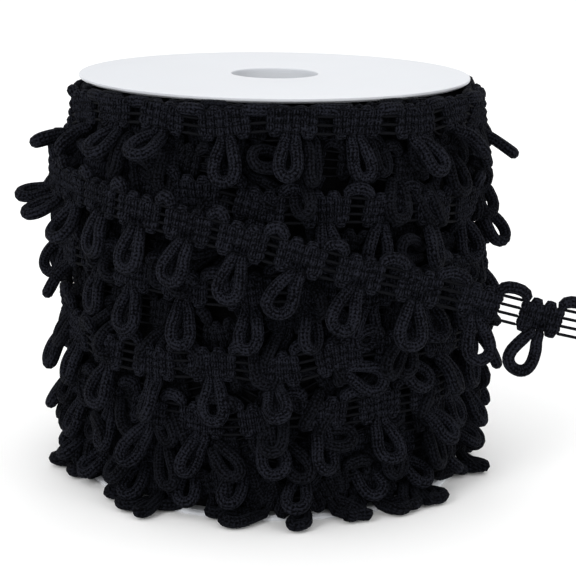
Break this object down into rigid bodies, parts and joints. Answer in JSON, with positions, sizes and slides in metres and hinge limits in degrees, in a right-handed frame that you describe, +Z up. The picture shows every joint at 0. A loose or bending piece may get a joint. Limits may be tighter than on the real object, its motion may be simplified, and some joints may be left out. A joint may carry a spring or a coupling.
{
  "type": "elastic button loop tape wound on a spool",
  "caption": "Knitted elastic trimming tape with button loops along one edge, wound on a flanged plastic spool with one loose end.",
  "frame": {"origin": "on the spool's axis, at the face that the spool stands on", "axes": "+Z up along the spool's axis, -Y towards the front that the loose end crosses, +X towards the side it leaves to"},
  "size_m": [0.1432, 0.126, 0.103],
  "materials": {
    "spool_plastic": "smooth white moulded plastic",
    "yarn": "soft matte black knitted cord"
  },
  "bodies": {
    "root": {"spool_top_flange": "spool_plastic", "spool_core": "spool_plastic", "spool_bottom_flange": "spool_plastic", "wound_roll": "yarn", "turn_a": "yarn", "turn_b": "yarn", "turn_c": "yarn", "turn_d": "yarn", "turn_e": "yarn", "turn_f": "yarn", "loose_tape_end": "yarn"}
  },
  "joints": []
}
